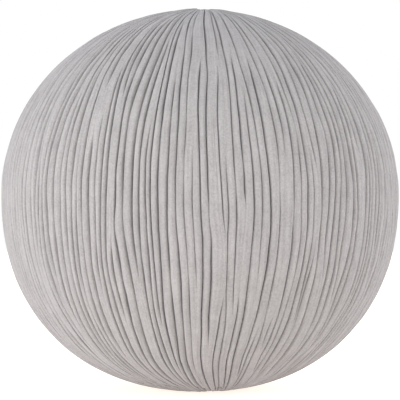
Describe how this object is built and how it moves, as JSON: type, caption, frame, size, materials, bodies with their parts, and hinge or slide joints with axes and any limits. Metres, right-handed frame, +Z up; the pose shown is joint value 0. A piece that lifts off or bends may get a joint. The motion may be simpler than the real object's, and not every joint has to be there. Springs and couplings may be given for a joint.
{
  "type": "gathered velvet ball pouf",
  "caption": "Round floor pouf with a gathered velvet cover, drawn in to a button at the top and the bottom.",
  "frame": {"origin": "on the floor, under the centre of the ball", "axes": "+Z up through both buttons; -Y towards the front panel of the cover"},
  "size_m": [0.45, 0.45, 0.4306],
  "materials": {
    "velvet": "matte",
    "calico": "matte",
    "wadding": "matte",
    "foam": "matte",
    "cotton_cord": "matte",
    "felt": "matte",
    "steel": "satin"
  },
  "bodies": {
    "root": {"cover_panel_front": "velvet", "cover_panel_back_left": "velvet", "cover_panel_back_right": "velvet", "top_button_cap": "velvet", "top_button_back": "steel", "top_button_loop": "steel", "top_drawcord": "cotton_cord", "top_washer": "felt", "bottom_button_cap": "velvet", "bottom_button_back": "steel", "bottom_button_loop": "steel", "bottom_drawcord": "cotton_cord", "bottom_washer": "felt", "button_twine": "cotton_cord", "liner_gore_1": "calico", "liner_gore_2": "calico", "liner_gore_3": "calico", "liner_gore_4": "calico", "liner_gore_5": "calico", "liner_gore_6": "calico", "wadding_upper": "wadding", "wadding_lower": "wadding", "foam_core_upper": "foam", "foam_core_lower": "foam"}
  },
  "joints": []
}
